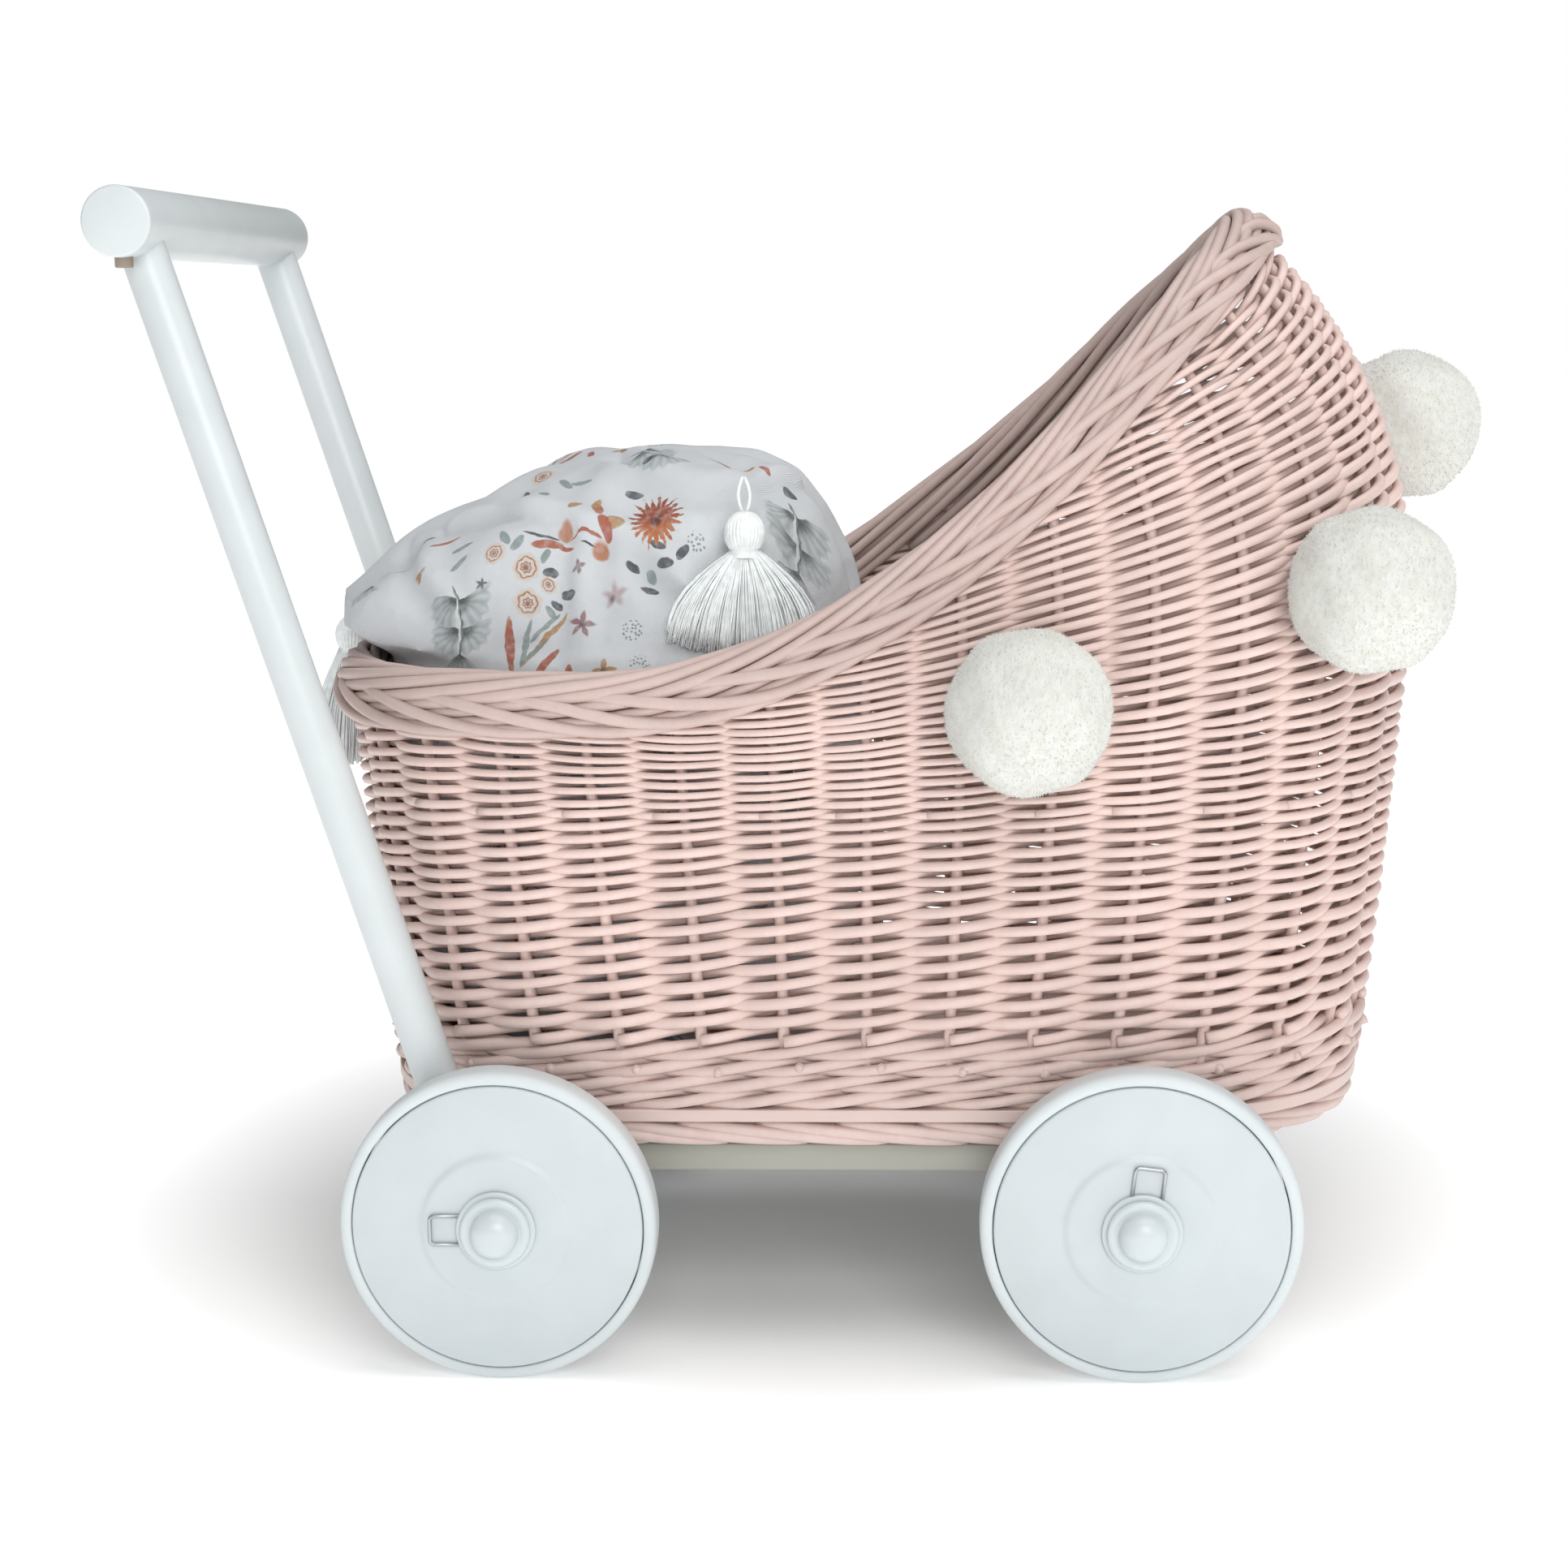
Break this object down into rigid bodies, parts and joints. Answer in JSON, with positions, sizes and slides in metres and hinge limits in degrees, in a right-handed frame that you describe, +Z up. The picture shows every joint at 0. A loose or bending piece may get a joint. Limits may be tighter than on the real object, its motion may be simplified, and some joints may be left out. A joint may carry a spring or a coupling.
{
  "type": "doll stroller",
  "caption": "Wicker doll stroller: a woven willow basket with a raised hood on a wooden chassis, with a push handle, pompoms and a printed padded blanket.",
  "frame": {"origin": "on the ground under the middle of the whole object's box", "axes": "+X forwards, towards the hood; +Y to the left; +Z up"},
  "size_m": [0.6208, 0.3838, 0.5203],
  "materials": {
    "painted_wood": "satin off-white paint on beech and plywood",
    "wheel_paint": "smooth satin white paint",
    "tyre": "matt white rubber",
    "steel": "plain zinc-plated steel",
    "willow": "peeled willow, painted powder pink, satin",
    "pompom_yarn": "cut wool yarn, off-white",
    "tassel_yarn": "fine cotton yarn, white",
    "printed_cotton": "white cotton with a watercolour flower print"
  },
  "bodies": {
    "pram": {"base_board": "painted_wood", "rear_axle_beam": "painted_wood", "front_axle_beam": "painted_wood", "grip_bar": "painted_wood", "handle_rod_right": "painted_wood", "handle_rod_left": "painted_wood", "spacer_rear_right": "steel", "hub_washer_rear_right": "wheel_paint", "hub_cap_rear_right": "wheel_paint", "hub_clip_rear_right": "steel", "spacer_rear_left": "steel", "hub_washer_rear_left": "wheel_paint", "hub_cap_rear_left": "wheel_paint", "hub_clip_rear_left": "steel", "spacer_front_right": "steel", "hub_washer_front_right": "wheel_paint", "hub_cap_front_right": "wheel_paint", "hub_clip_front_right": "steel", "spacer_front_left": "steel", "hub_washer_front_left": "wheel_paint", "hub_cap_front_left": "wheel_paint", "hub_clip_front_left": "steel", "rear_axle": "steel", "front_axle": "steel", "grip_peg_right": "steel", "grip_peg_left": "steel", "handle_bolt_right": "steel", "handle_bolt_left": "steel", "basket_screw_1": "steel", "basket_screw_2": "steel", "basket_screw_3": "steel", "basket_screw_4": "steel", "beam_screw_1": "steel", "beam_screw_2": "steel", "beam_screw_3": "steel", "beam_screw_4": "steel", "basket_floor": "willow", "foot_border": "willow", "waling_band": "willow", "basket_wall": "willow", "rim_border": "willow", "pompom_1": "pompom_yarn", "pompom_2": "pompom_yarn", "pompom_3": "pompom_yarn", "pompom_4": "pompom_yarn", "pompom_5": "pompom_yarn"},
    "wheel_rear_right_body": {"wheel_rear_right": "wheel_paint", "tyre_rear_right": "tyre"},
    "wheel_rear_left_body": {"wheel_rear_left": "wheel_paint", "tyre_rear_left": "tyre"},
    "wheel_front_right_body": {"wheel_front_right": "wheel_paint", "tyre_front_right": "tyre"},
    "wheel_front_left_body": {"wheel_front_left": "wheel_paint", "tyre_front_left": "tyre"},
    "bedding": {"blanket": "printed_cotton", "tassel_right": "tassel_yarn"},
    "hanging_tassel": {"tassel_rear": "tassel_yarn"}
  },
  "joints": [
    {"name": "wheel_rear_right_spin", "type": "hinge", "parent": "pram", "child": "wheel_rear_right_body", "pos_m": [-0.1469, 0, 0.07], "axis": [0, 1, 0], "continuous": true},
    {"name": "wheel_rear_left_spin", "type": "hinge", "parent": "pram", "child": "wheel_rear_left_body", "pos_m": [-0.1469, 0, 0.07], "axis": [0, 1, 0], "continuous": true},
    {"name": "wheel_front_right_spin", "type": "hinge", "parent": "pram", "child": "wheel_front_right_body", "pos_m": [0.1341, 0, 0.07], "axis": [0, 1, 0], "continuous": true},
    {"name": "wheel_front_left_spin", "type": "hinge", "parent": "pram", "child": "wheel_front_left_body", "pos_m": [0.1341, 0, 0.07], "axis": [0, 1, 0], "continuous": true},
    {"name": "bedding_lift", "type": "slide", "parent": "pram", "child": "bedding", "axis": [0, 0, 1], "range_m": [0, 0.25]},
    {"name": "hanging_tassel_swing", "type": "hinge", "parent": "bedding", "child": "hanging_tassel", "pos_m": [-0.2439, 0.05, 0.326], "axis": [1, 0, 0], "range_deg": [0, 30]}
  ]
}
